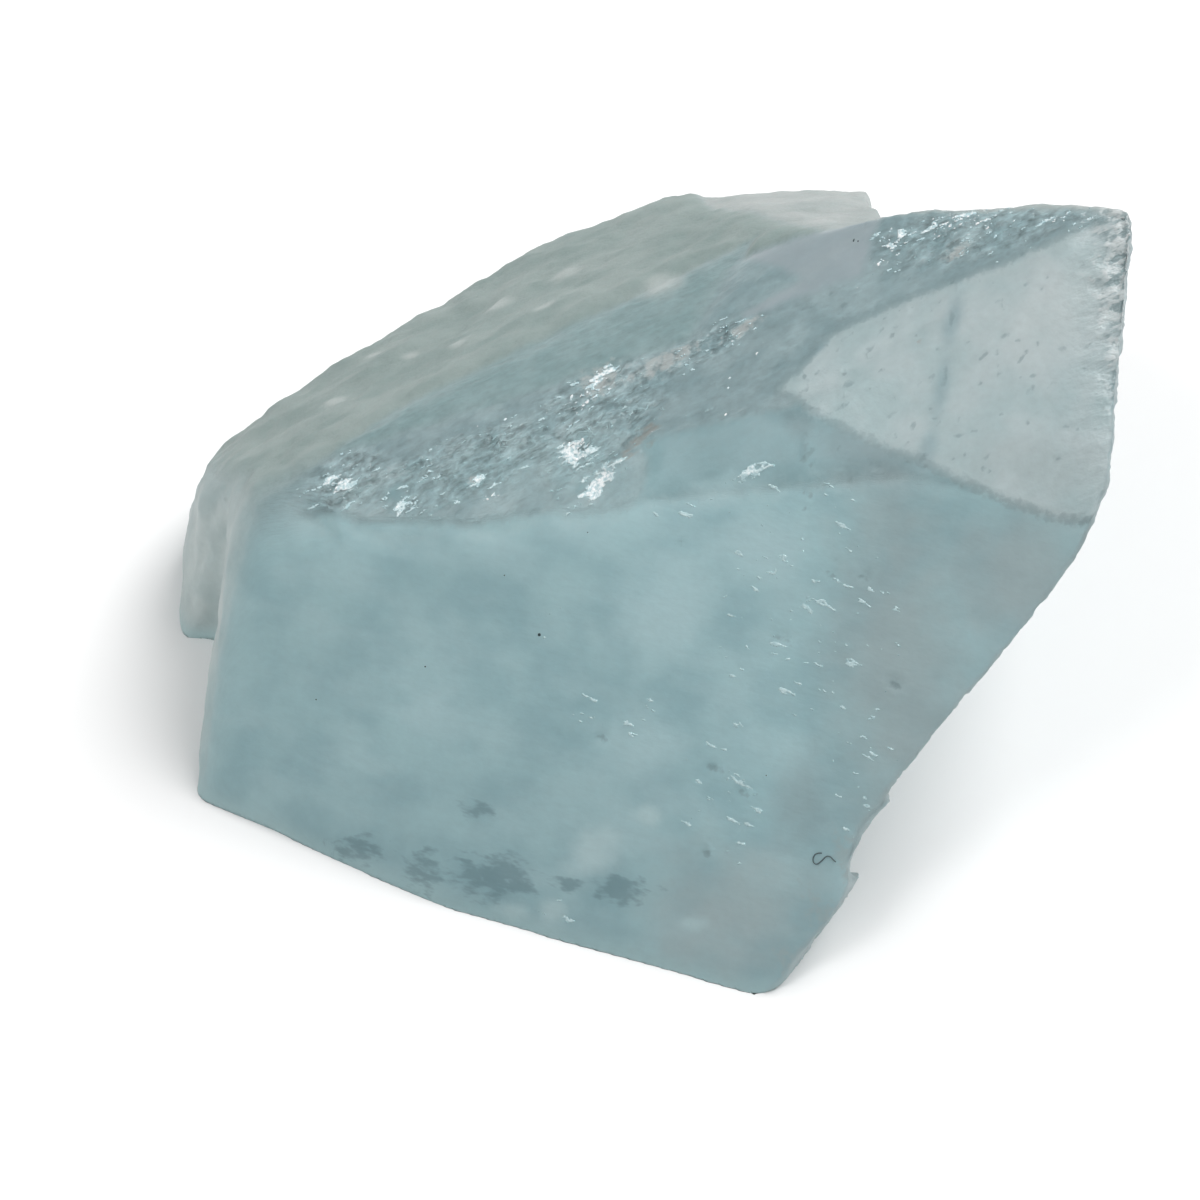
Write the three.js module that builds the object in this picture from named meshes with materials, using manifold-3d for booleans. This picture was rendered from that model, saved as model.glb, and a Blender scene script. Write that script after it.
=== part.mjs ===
// Rough aquamarine crystal: one wedge-shaped broken piece of beryl lying on a flat break.
// Millimetres, +Z up. The long side of the piece runs along X and the high end is at +X.
import * as THREE from "three";
import { mergeVertices } from "three/addons/utils/BufferGeometryUtils.js";
import Module from "manifold-3d";

const wasm = await Module();
wasm.setup();

// Driving dimensions. Every flat face of the crystal is one facet: the bearing it looks towards
// (degrees, anticlockwise from +X), its dip (0 looks straight up, 90 is upright, more leans under)
// and how far out it stands from the middle of the base.
const ROUGH_SIZE = 50;
const ROUGH_HEIGHT = 30;
const REACH = 120;

const FACES = {
  front: facet(-109, 50, 11.85),
  frontTurn: facet(-118, 54.5, 12.75),
  bevel: facet(-116, 38, 12.95),
  paleTriangle: facet(-112, 29, 14.55),
  breakBand: facet(-151, 21.5, 13.95),
  frostedBack: facet(133, 36.5, 13.65),
  frostedLeft: facet(139, 38, 13.95),
  leftSlope: facet(-173, 69.5, 17.5),
};

const WALLS = {
  rightToe: facet(-31, 112, 12.4),
  toeTip: facet(-61, 112, 16.4),
  rightSide: facet(-5, 96, 15.8),
  leftEnd: facet(176, 80, 18.05),
  backRight: facet(84, 72, 17.25),
  back: facet(104, 78, 16.1),
  backLeft: facet(124, 75, 15.35),
  leftCorner: facet(145, 72, 17.25),
};

// Steps where a piece has broken away: each takes out what lies beyond all of its faces.
const STEPS = {
  rightOverhang: [facet(-17.5, 119, 8.45), facet(90, 50, -9)],
  leftEndStep: [facet(172.5, 86, 16), facet(-95, 75, 2.1)],
  blueTop: [facet(152, 23.5, 14.05), facet(154, 90, -1.15)],
  violetTop: [facet(169, 28.5, 12.85), facet(-26, 90, 1.15)],
  paleShoulder: [facet(95, 38, 16.65), facet(82, 90, 5.9), facet(8.5, 90, 4.65)],
  rightEdgeStep: [facet(-17.5, 123, 7.1), facet(60, 35, 1.2)],
  highEndBack: [facet(89, 53, 15.2), facet(0, 90, 9.35)],
};

// Shell-shaped scars: where the scar lies, the way it faces, the radius it is struck with
// and how deep it goes.
const SCARS = [
  { at: [-8.9, -3.3, 11.3], bearing: -120, dip: 34, radius: 7, depth: 0.55 },
  { at: [-5.2, -3.7, 12.3], bearing: -128, dip: 30, radius: 6, depth: 0.7 },
  { at: [-1.9, -3.9, 13.3], bearing: -125, dip: 32, radius: 5, depth: 0.7 },
  { at: [8.9, -14.5, 5.4], bearing: -28, dip: 104, radius: 2.4, depth: 0.75 },
  { at: [18.2, -1.2, 19.9], bearing: -15, dip: 60, radius: 2.4, depth: 0.35 },
  { at: [17.6, -4.0, 18.2], bearing: -15, dip: 62, radius: 2, depth: 0.3 },
];
const SCAR_DETAIL = 7;

const AQUAMARINE = new THREE.MeshStandardMaterial({
  color: 0x8fb3ba,
  roughness: 0.3,
  metalness: 0,
});

function facet(bearing, dip, out) {
  return { bearing, dip, out };
}

// Closed solid from a three.js geometry.
function solid(geometry) {
  geometry.deleteAttribute("normal");
  geometry.deleteAttribute("uv");
  const merged = mergeVertices(geometry, 1e-4);
  return new wasm.Manifold(
    new wasm.Mesh({
      numProp: 3,
      vertProperties: merged.attributes.position.array,
      triVerts: new Uint32Array(merged.index.array),
    }),
  );
}

// three.js geometry from a closed solid.
function geometryOf(body) {
  const mesh = body.getMesh();
  const geometry = new THREE.BufferGeometry();
  geometry.setAttribute("position", new THREE.BufferAttribute(mesh.vertProperties, 3));
  geometry.setIndex(new THREE.BufferAttribute(mesh.triVerts, 1));
  return geometry;
}

// Turns a geometry that looks up so that it looks towards a bearing at a dip.
function face(geometry, bearing, dip) {
  geometry.rotateY(THREE.MathUtils.degToRad(dip));
  geometry.rotateZ(THREE.MathUtils.degToRad(bearing));
  return geometry;
}

// Everything that lies beyond one facet.
function beyond({ bearing, dip, out }) {
  const block = new THREE.BoxGeometry(REACH, REACH, REACH);
  block.translate(0, 0, REACH / 2 + out);
  return solid(face(block, bearing, dip));
}

// The lump before any face is given to it, standing on the flat break at z = 0.
function roughLump() {
  const lump = new THREE.BoxGeometry(ROUGH_SIZE, ROUGH_SIZE, ROUGH_HEIGHT);
  lump.translate(0, 0, ROUGH_HEIGHT / 2);
  return solid(lump);
}

// What a step takes away: the part beyond all of its faces at once.
function step(faces) {
  return faces.map(beyond).reduce((kept, next) => kept.intersect(next));
}

// The ball that strikes one shell-shaped scar.
function scar({ at, bearing, dip, radius, depth }) {
  const ball = new THREE.IcosahedronGeometry(radius, SCAR_DETAIL);
  ball.translate(0, 0, radius - depth);
  face(ball, bearing, dip);
  ball.translate(...at);
  return solid(ball);
}

function crystal() {
  let body = roughLump();
  for (const side of [...Object.values(FACES), ...Object.values(WALLS)]) {
    body = body.subtract(beyond(side));
  }
  for (const faces of Object.values(STEPS)) {
    body = body.subtract(step(faces));
  }
  for (const mark of SCARS) {
    body = body.subtract(scar(mark));
  }
  return body;
}

// Sets the middle of the piece's plan over the origin.
function centred(geometry) {
  geometry.computeBoundingBox();
  const middle = geometry.boundingBox.getCenter(new THREE.Vector3());
  geometry.translate(-middle.x, -middle.y, 0);
  return geometry;
}

const part = new THREE.Group();
const stone = new THREE.Mesh(centred(geometryOf(crystal())), AQUAMARINE);
stone.name = "aquamarine_crystal";
part.add(stone);

export default part;
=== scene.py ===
# %% [markdown]
# # A rough aquamarine crystal
#
# This lesson finishes one broken piece of aquamarine. Its solid is already modelled, so
# we load that as a fixed frame, give its faces the fine surface a real stone has, make the
# see-through material, put in the cracks and flakes that catch the light, and light it like
# a small object on a pale table.

# %% Load the frame
import math

import bmesh
import bpy
import numpy as np
from mathutils import Matrix, Vector
from mathutils.bvhtree import BVHTree
from mathutils.kdtree import KDTree


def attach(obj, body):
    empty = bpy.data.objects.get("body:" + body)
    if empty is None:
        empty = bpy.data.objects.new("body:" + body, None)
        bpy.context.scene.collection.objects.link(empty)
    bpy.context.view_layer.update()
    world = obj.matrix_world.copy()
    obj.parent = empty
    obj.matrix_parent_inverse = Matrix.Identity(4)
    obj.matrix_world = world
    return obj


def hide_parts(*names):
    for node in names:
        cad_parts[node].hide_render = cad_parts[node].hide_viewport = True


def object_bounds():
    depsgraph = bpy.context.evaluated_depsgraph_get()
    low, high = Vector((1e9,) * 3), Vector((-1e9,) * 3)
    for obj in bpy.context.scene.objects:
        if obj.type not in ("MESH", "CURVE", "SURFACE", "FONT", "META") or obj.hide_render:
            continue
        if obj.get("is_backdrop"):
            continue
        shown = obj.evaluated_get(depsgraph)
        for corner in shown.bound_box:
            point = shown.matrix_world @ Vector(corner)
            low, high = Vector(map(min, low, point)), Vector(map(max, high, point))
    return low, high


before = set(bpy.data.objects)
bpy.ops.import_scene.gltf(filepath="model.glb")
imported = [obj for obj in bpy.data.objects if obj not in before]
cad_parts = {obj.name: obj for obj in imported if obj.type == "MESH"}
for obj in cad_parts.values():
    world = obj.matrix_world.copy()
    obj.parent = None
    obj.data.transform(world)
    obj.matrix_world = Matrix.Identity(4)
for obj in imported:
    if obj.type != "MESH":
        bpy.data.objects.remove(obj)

MM = 0.001
DOWN = Vector((0, 0, -1))
CAD_LOW, CAD_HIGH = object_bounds()
NODE = "aquamarine_crystal"
print("solid, in mm:", [round(v / MM, 1) for v in CAD_HIGH - CAD_LOW])

# %% [markdown]
# ## Camera
#
# A close-up of a stone is taken with a long lens, so that its faces keep their true
# proportions. The camera looks down at 50 degrees at a point on the table, a little left of
# the middle of the stone and a little behind it.

# %% Camera
LOOK_DOWN = math.radians(50)
CAMERA_AWAY = 180 * MM
AIM_LEFT = 1.44 * MM
AIM_BEHIND = 1.56 * MM
MIDDLE = (CAD_LOW + CAD_HIGH) / 2
AIM = Vector((MIDDLE.x - AIM_LEFT, MIDDLE.y + AIM_BEHIND, CAD_LOW.z))

lens = bpy.data.cameras.new("camera")
lens.lens = 135
lens.sensor_width = 36
lens.clip_start = 0.01
lens.clip_end = 5
camera = bpy.data.objects.new("camera", lens)
bpy.context.collection.objects.link(camera)
back_off = Vector((0, -math.cos(LOOK_DOWN), math.sin(LOOK_DOWN)))
camera.location = AIM + back_off * CAMERA_AWAY
camera.rotation_euler = (math.pi / 2 - LOOK_DOWN, 0, 0)
bpy.context.scene.camera = camera
print("camera:", [round(v, 3) for v in camera.location])

# %% [markdown]
# ## Helpers
#
# Three small tools serve the whole lesson: one turns a hex colour into the linear values
# Blender works in, one adds a node with its settings and links, and one counts a mesh's
# triangles.

# %% Helpers


def linear(hex_colour):
    """An sRGB hex colour as linear red, green, blue and alpha."""
    parts = [int(hex_colour[i : i + 2], 16) / 255 for i in (1, 3, 5)]
    flat = [p / 12.92 if p <= 0.04045 else ((p + 0.055) / 1.055) ** 2.4 for p in parts]
    return (*flat, 1.0)


def add(tree, kind, links=None, **settings):
    """Adds a node. links maps an input's name or number to a value or another socket."""
    made = tree.nodes.new(kind)
    for name, value in settings.items():
        setattr(made, name, value)
    for key, value in (links or {}).items():
        if isinstance(value, bpy.types.NodeSocket):
            tree.links.new(value, made.inputs[key])
        else:
            made.inputs[key].default_value = value
    return made


def triangles(mesh):
    return sum(len(face.vertices) - 2 for face in mesh.polygons)


# %% [markdown]
# ## A fine, even mesh
#
# The solid is a few hundred large flat triangles, which is too coarse for pits and scars.
# Cutting them up would keep their long thin shapes. A voxel remesh instead wraps the solid
# in small even squares, and it rounds the edges by a tenth of a millimetre, as a stone that
# has been handled is rounded.

# %% Even mesh
CELL = 0.205 * MM

solid = bmesh.new()
solid.from_mesh(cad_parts[NODE].data)
bmesh.ops.remove_doubles(solid, verts=solid.verts, dist=1e-7)
bmesh.ops.recalc_face_normals(solid, faces=solid.faces)
merged = bpy.data.meshes.new("merged")
solid.to_mesh(merged)


def evaluated_copy(piece, name):
    """The mesh a piece has once its modifiers have run, as a plain mesh."""
    depsgraph = bpy.context.evaluated_depsgraph_get()
    made = bpy.data.meshes.new_from_object(piece.evaluated_get(depsgraph))
    made.name = name
    return made


crystal = bpy.data.objects.new("crystal", merged)
bpy.context.collection.objects.link(crystal)
remesh = crystal.modifiers.new("even cells", "REMESH")
remesh.mode = "VOXEL"
remesh.voxel_size = CELL
fine = evaluated_copy(crystal, "crystal")
crystal.modifiers.clear()
crystal.data = fine
print("even mesh:", len(fine.vertices), "points,", triangles(fine), "triangles")

# %% [markdown]
# ## Which face is which
#
# Each face of the stone has its own finish: satin, pale and pitted, stepped or frosted. We
# name the faces by the way they look (a bearing anticlockwise from +X and a dip from
# straight up), find each flat triangle of the solid that looks that way, and then every
# point of the fine mesh takes the finish of the triangle it lies on. What no look fits is a
# small scar.

# %% Name the faces
LOOK_REACH = 2.5  # degrees a triangle may look away from the named way
LOOKS = {
    "satin": [(-109, 50), (-118, 54.5)],
    "bevel": [(-116, 38)],
    "pale": [(-112, 29)],
    "broken": [(-151, 21.5)],
    "blue_top": [(152, 23.5)],
    "violet": [(169, 28.5)],
    "frosted": [(133, 36.5), (139, 38), (145, 72), (124, 75)],
    "left_end": [(-173, 69.5), (176, 80), (172.5, 86), (-95, 75)],
    "shoulder": [(95, 38), (82, 90), (8.5, 90), (84, 72), (104, 78), (89, 53), (0, 90)],
    "side": [(-17.5, 119), (-17.5, 123), (-31, 112), (-61, 112), (-5, 96)],
    "base": [(0, 180)],
}
SCARRED = "scarred"
FINISHES = [*LOOKS, SCARRED]


def direction(bearing, dip):
    turn, lean = math.radians(bearing), math.radians(dip)
    return Vector((math.sin(lean) * math.cos(turn), math.sin(lean) * math.sin(turn), math.cos(lean)))


def finish_of(normal):
    """The name of the finish whose face looks most nearly this way."""
    best, name = LOOK_REACH, SCARRED
    for finish, looks in LOOKS.items():
        for look in looks:
            off = math.degrees(direction(*look).angle(normal))
            if off < best:
                best, name = off, finish
    return name


solid.faces.ensure_lookup_table()
face_finish = [FINISHES.index(finish_of(face.normal)) for face in solid.faces]
nearest = BVHTree.FromBMesh(solid)
owner = np.array([face_finish[nearest.find_nearest(v.co)[2]] for v in fine.vertices])
edge_ends = np.empty(len(fine.edges) * 2, dtype=np.int64)
fine.edges.foreach_get("vertices", edge_ends)
edge_ends = edge_ends.reshape(-1, 2)


def softened(values, rounds):
    """Averages a value over each point's neighbours, a few times over."""
    for _ in range(rounds):
        total = values.copy()
        count = np.ones_like(values)
        for a, b in ((0, 1), (1, 0)):
            total += np.bincount(edge_ends[:, a], values[edge_ends[:, b]], len(values))
            count += np.bincount(edge_ends[:, a], minlength=len(values))
        values = total / count
    return values


def keep_on_mesh(mesh, name, values):
    layer = mesh.attributes.new(name, "FLOAT", "POINT")
    layer.data.foreach_set("value", values.astype(np.float32))


def points_of(mesh):
    flat = np.empty(len(mesh.vertices) * 3)
    mesh.vertices.foreach_get("co", flat)
    return flat.reshape(-1, 3)


# %% [markdown]
# A finish doesn't always stop where two faces meet. The pale finish, partly painted sheen,
# the violet-grey patch and the satin below the ridge each run on over their neighbours, so
# each gets an outline seen from above, and the points inside it change finish. At the left end
# all the finishes melt into each other over a few millimetres, because that end is weathered.

# %% Outlines of three finishes
UPWARD = 0.15
LEFT_END_FROM = -11.5
LEFT_END_FADE = 2.0
CRISP_ROUNDS = 1
MELTED_ROUNDS = 50

facing = np.empty(len(fine.vertices) * 3)
fine.vertices.foreach_get("normal", facing)
looks_up = facing.reshape(-1, 3)[:, 2] > UPWARD
plan = points_of(fine) / MM
OUTLINES = {
    # finish: the faces it runs on over, and its corners in mm seen from above
    "pale": (
        {"broken", "bevel", "satin"},
        [
            (17.0, -8.2),
            (15.0, -7.7),
            (13.1, -6.9),
            (11.7, -6.2),
            (10.3, -5.3),
            (9.1, -4.8),
            (7.6, -3.9),
            (6.2, -3.1),
            (5.0, -2.0),
            (6.0, -1.3),
            (6.8, -0.3),
            (7.6, 0.0),
            (9.2, 0.4),
            (11.3, 0.8),
            (13.3, 1.1),
            (14.9, 1.6),
            (16.8, 2.1),
            (19.0, 2.2),
            (19.0, -8.8),
        ],
    ),
    "violet": (
        {"broken"},
        [(3.0, 2.7), (3.8, 5.8), (8.9, 8.2), (9.0, 4.6), (8.2, 1.9), (3.9, 1.4)],
    ),
    "satin": (
        {"broken", "bevel", "scarred"},
        [
            (-13.8, -2.6),
            (-12.0, -2.9),
            (-11.0, -3.2),
            (-8.9, -3.5),
            (-7.0, -4.0),
            (-5.2, -4.1),
            (-2.9, -4.4),
            (-1.1, -4.7),
            (0.4, -5.0),
            (0.4, -6.4),
            (-14.5, -5.4),
        ],
    ),
}
PALE_CORNERS = OUTLINES["pale"][1]


def inside(points, corners):
    """Which points lie inside an outline, seen from above."""
    within = np.zeros(len(points), dtype=bool)
    for (x1, y1), (x2, y2) in zip(corners, corners[1:] + corners[:1]):
        crossed = (points[:, 1] > y1) != (points[:, 1] > y2)
        cut_x = x1 + (points[:, 1] - y1) * (x2 - x1) / ((y2 - y1) or 1.0)
        within ^= crossed & (points[:, 0] < cut_x)
    return within


pale_facet = owner == FINISHES.index("pale")
owner[pale_facet & looks_up & ~inside(plan, PALE_CORNERS)] = FINISHES.index("bevel")
for finish, (runs_over, corners) in OUTLINES.items():
    may_cover = looks_up & np.isin(owner, [FINISHES.index(under) for under in runs_over])
    owner[may_cover & inside(plan, corners)] = FINISHES.index(finish)
at_left = np.clip((LEFT_END_FROM - plan[:, 0]) / LEFT_END_FADE, 0, 1)
for number, finish in enumerate(FINISHES):
    crisp = softened((owner == number).astype(float), CRISP_ROUNDS)
    melted = softened(crisp, MELTED_ROUNDS)
    keep_on_mesh(fine, finish, crisp + (melted - crisp) * at_left)
    print(f"{finish}: {100 * (owner == number).mean():.0f}% of the points")

# %% [markdown]
# ## Edges
#
# Brittle stone loses small flakes along its edges. To wear them we need to know how far
# each point is from the nearest edge, so we lay points along the solid's edges and look up
# the nearest one. Each kind of edge is kept apart, with its own reach in millimetres: the
# sharp ones, the crumbled one at the high end, the rim of the pale face, the thin one where
# the stone meets the table, and the blunt ones where the break runs out into the old faces.

# %% Distance to the edges
SHARP = math.radians(9)
SHORT_SHARP = 1.6 * SHARP
SHORT_EDGE = 1.5 * MM
HIGH_END = 3 * MM


def along(edge, spacing=0.1 * MM):
    a, b = (v.co for v in edge.verts)
    steps = max(2, int((b - a).length / spacing))
    return [a.lerp(b, i / steps) for i in range(steps + 1)]


def edge_points(wanted):
    return [p for edge in solid.edges if wanted(edge) for p in along(edge)]


def nearness(points, reach):
    """1 on the edge, falling evenly to 0 at reach."""
    tree = KDTree(len(points))
    for i, p in enumerate(points):
        tree.insert(p, i)
    tree.balance()
    far = np.array([tree.find(v.co)[2] for v in fine.vertices])
    return np.clip(1 - far / reach, 0, 1)


def finishes_at(edge):
    return {FINISHES[face_finish[face.index]] for face in edge.link_faces}


def is_soft_edge(edge):
    """The blunt edges where the break or the pale face runs out into the old faces."""
    upper, lower = {"broken", "pale"} & finishes_at(edge), {"satin", "bevel"} & finishes_at(edge)
    return bool(upper) and bool(lower)


def is_sharp(edge):
    """A short edge counts only where the faces turn more."""
    turn = edge.calc_face_angle(0)
    clear_turn = turn > SHARP and (edge.calc_length() > SHORT_EDGE or turn > SHORT_SHARP)
    return clear_turn and not is_soft_edge(edge)


def is_high_edge(edge):
    """The broken edge at the high end, right of the pale face."""
    middle = (edge.verts[0].co + edge.verts[1].co) / 2
    inner = {"broken", "satin", "bevel"} & finishes_at(edge)
    return "pale" in finishes_at(edge) and not inner and middle.x > CAD_HIGH.x - HIGH_END


def draped(corners):
    """Points on the solid along an outline given from above."""
    laid = []
    for (x1, y1), (x2, y2) in zip(corners, corners[1:]):
        for step in np.linspace(0, 1, 21):
            above = Vector((x1 + (x2 - x1) * step, y1 + (y2 - y1) * step, 1 / MM)) * MM
            landed = nearest.ray_cast(above, DOWN)[0]
            laid += [landed] if landed else []
    return laid


def is_foot_edge(edge):
    return "base" in finishes_at(edge) and len(finishes_at(edge)) == 2


REACH = {
    "near_edge": 1.0,
    "near_high_edge": 2.3,
    "near_pale_edge": 0.6,
    "near_foot": 1.3,
    "near_soft_edge": 1.6,
}
EDGE_LINES = {
    "near_edge": edge_points(is_sharp),
    "near_high_edge": edge_points(is_high_edge),
    "near_pale_edge": draped(PALE_CORNERS[:-2]),
    "near_foot": edge_points(is_foot_edge),
    "near_soft_edge": edge_points(is_soft_edge),
}
near = {name: nearness(line, REACH[name] * MM) for name, line in EDGE_LINES.items()}
near["near_high_edge"] *= np.clip((plan[:, 1] + 9) / 9, 0.4, 1)  # less towards the front
near["near_edge"] *= 1 - 0.9 * near["near_foot"]
for name, close in near.items():
    keep_on_mesh(fine, name, close)
    print(f"{name}: {int((close > 0).sum())} points")

# %% [markdown]
# A stone's edges are never knife sharp. Four rounds of averaging, only close to an edge,
# take the corner off without touching the flat faces. The foot gets a few more, and the
# blunt edges, the left end, the high corner and the chip at the toe get many. The old scars
# on the top have been etched as well, which leaves them as soft hollows.

# %% Worn edges
TOE_CHIP_X = 8.1
TOE_CHIP_Y = -15.1
HIGH_CORNER_REACH = 1.8
TOE_CHIP_REACH = 1.2
TOP_ABOVE = 7.5
TOP_LEFT_OF = 14.0
MANY_ROUNDS = 30
MOST_ROUNDS = 40

even = points_of(fine)


def wear(points, where_worn, rounds):
    for _ in range(rounds):
        eased = np.stack([softened(points[:, axis], 1) for axis in range(3)], axis=1)
        points = points + (eased - points) * where_worn[:, None]
    return points


even = wear(even, np.clip(near["near_edge"] * 2 - 0.6, 0, 1), 4)
even = wear(even, np.clip(near["near_foot"] * 2 - 0.8, 0, 1), 10)
even = wear(even, np.clip(near["near_edge"] * 2, 0, 1) * at_left, MOST_ROUNDS)
even = wear(even, near["near_soft_edge"], MANY_ROUNDS)
high_corner = np.array(max(solid.verts, key=lambda v: v.co.z).co)
above_chip = Vector((TOE_CHIP_X * MM, TOE_CHIP_Y * MM, 1))
toe_chip = np.array(nearest.ray_cast(above_chip, DOWN)[0])
for corner, reach in ((high_corner, HIGH_CORNER_REACH), (toe_chip, TOE_CHIP_REACH)):
    from_corner = np.linalg.norm(even - corner, axis=1)
    even = wear(even, np.clip(1 - from_corner / (reach * MM), 0, 1), MANY_ROUNDS)
in_scar = softened((owner == FINISHES.index(SCARRED)).astype(float), 5)
on_top = looks_up & (even[:, 2] > TOP_ABOVE * MM) & (even[:, 0] < TOP_LEFT_OF * MM)
even = wear(even, np.clip(in_scar * 3, 0, 1) * on_top, MOST_ROUNDS)
fine.vertices.foreach_set("co", even.ravel())
fine.update()
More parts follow.
